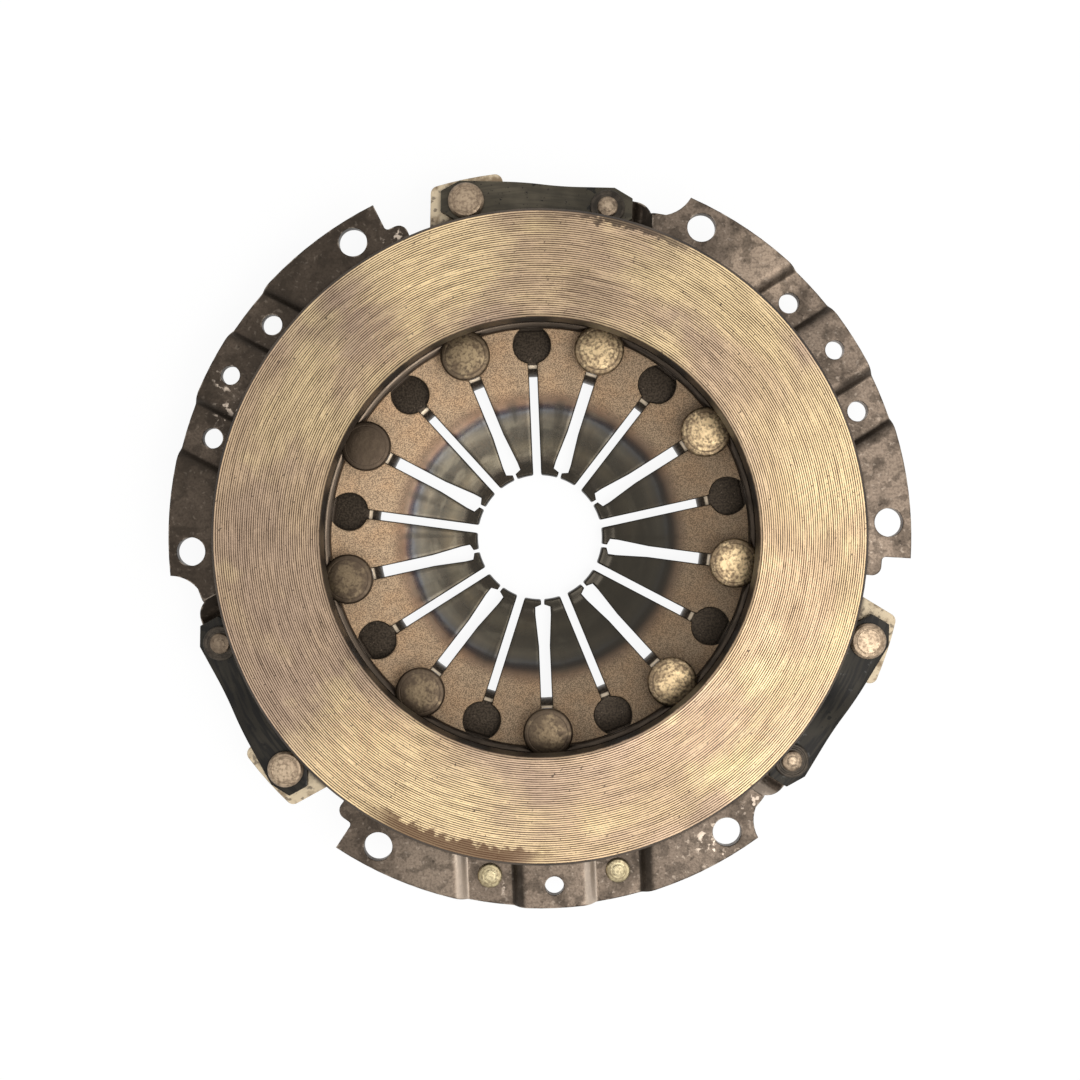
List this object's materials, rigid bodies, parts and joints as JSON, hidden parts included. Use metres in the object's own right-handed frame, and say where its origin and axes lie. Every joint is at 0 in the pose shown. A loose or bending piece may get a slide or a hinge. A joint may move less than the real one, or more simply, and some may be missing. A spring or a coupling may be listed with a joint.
{
  "type": "clutch pressure plate",
  "caption": "Push-type diaphragm clutch cover assembly: stamped cover, cast pressure plate on leaf straps, slotted spring between riveted wire rings.",
  "frame": {"origin": "on the axis, in the plane of the cover flange's mating face", "axes": "+Z along the axis towards the flywheel, +Y through the middle of one strap window"},
  "size_m": [0.234, 0.2324, 0.0363],
  "materials": {
    "cover_sheet": "stamped sheet steel, dark brown oil film, worn bright at edges",
    "plate_casting": "fine-turned friction face, rough cast lugs and back",
    "spring_steel": "shot-peened spring steel with a heat tint towards the fingertips",
    "ring_wire": "smooth drawn wire",
    "fulcrum_rivet_steel": "pressed rivet heads, mottled gold-brown",
    "strap_steel": "dark spring strip with oil spots",
    "strap_rivet_steel": "pressed rivet heads",
    "washer_steel": "dark pressed washer",
    "balance_rivet_steel": "yellow-passivated rivet heads"
  },
  "bodies": {
    "cover": {"cover": "cover_sheet", "front_fulcrum_ring": "ring_wire", "back_fulcrum_ring": "ring_wire", "fulcrum_rivet_1": "fulcrum_rivet_steel", "fulcrum_rivet_2": "fulcrum_rivet_steel", "fulcrum_rivet_3": "fulcrum_rivet_steel", "fulcrum_rivet_4": "fulcrum_rivet_steel", "fulcrum_rivet_5": "fulcrum_rivet_steel", "fulcrum_rivet_6": "fulcrum_rivet_steel", "fulcrum_rivet_7": "fulcrum_rivet_steel", "fulcrum_rivet_8": "fulcrum_rivet_steel", "fulcrum_rivet_9": "fulcrum_rivet_steel", "cover_strap_rivet_1": "strap_rivet_steel", "cover_strap_rivet_2": "strap_rivet_steel", "cover_strap_rivet_3": "strap_rivet_steel", "strap_washer_1": "washer_steel", "strap_washer_2": "washer_steel", "strap_washer_3": "washer_steel", "strap_1_leaf_1": "strap_steel", "strap_1_leaf_2": "strap_steel", "strap_1_leaf_3": "strap_steel", "strap_2_leaf_1": "strap_steel", "strap_2_leaf_2": "strap_steel", "strap_2_leaf_3": "strap_steel", "strap_3_leaf_1": "strap_steel", "strap_3_leaf_2": "strap_steel", "strap_3_leaf_3": "strap_steel", "balance_rivet_1": "balance_rivet_steel", "balance_rivet_2": "balance_rivet_steel"},
    "pressure_plate": {"pressure_plate": "plate_casting", "lug_strap_rivet_1": "strap_rivet_steel", "lug_strap_rivet_2": "strap_rivet_steel", "lug_strap_rivet_3": "strap_rivet_steel"},
    "diaphragm": {"diaphragm_spring": "spring_steel"}
  },
  "joints": [
    {"name": "plate_lift", "type": "slide", "parent": "cover", "child": "pressure_plate", "axis": [0, 0, 1], "range_m": [-0.0045, 0], "stiffness_N_per_m": 20000, "springref_m": 0.002, "deforming": ["strap_1_leaf_1", "strap_1_leaf_2", "strap_1_leaf_3", "strap_2_leaf_1", "strap_2_leaf_2", "strap_2_leaf_3", "strap_3_leaf_1", "strap_3_leaf_2", "strap_3_leaf_3"]},
    {"name": "finger_travel", "type": "slide", "parent": "cover", "child": "diaphragm", "axis": [0, 0, 1], "range_m": [0, 0.01382], "deforming": ["diaphragm_spring"]}
  ],
  "couplings": [
    {"joint": "finger_travel", "follows": "plate_lift", "ratio": -3.069}
  ]
}
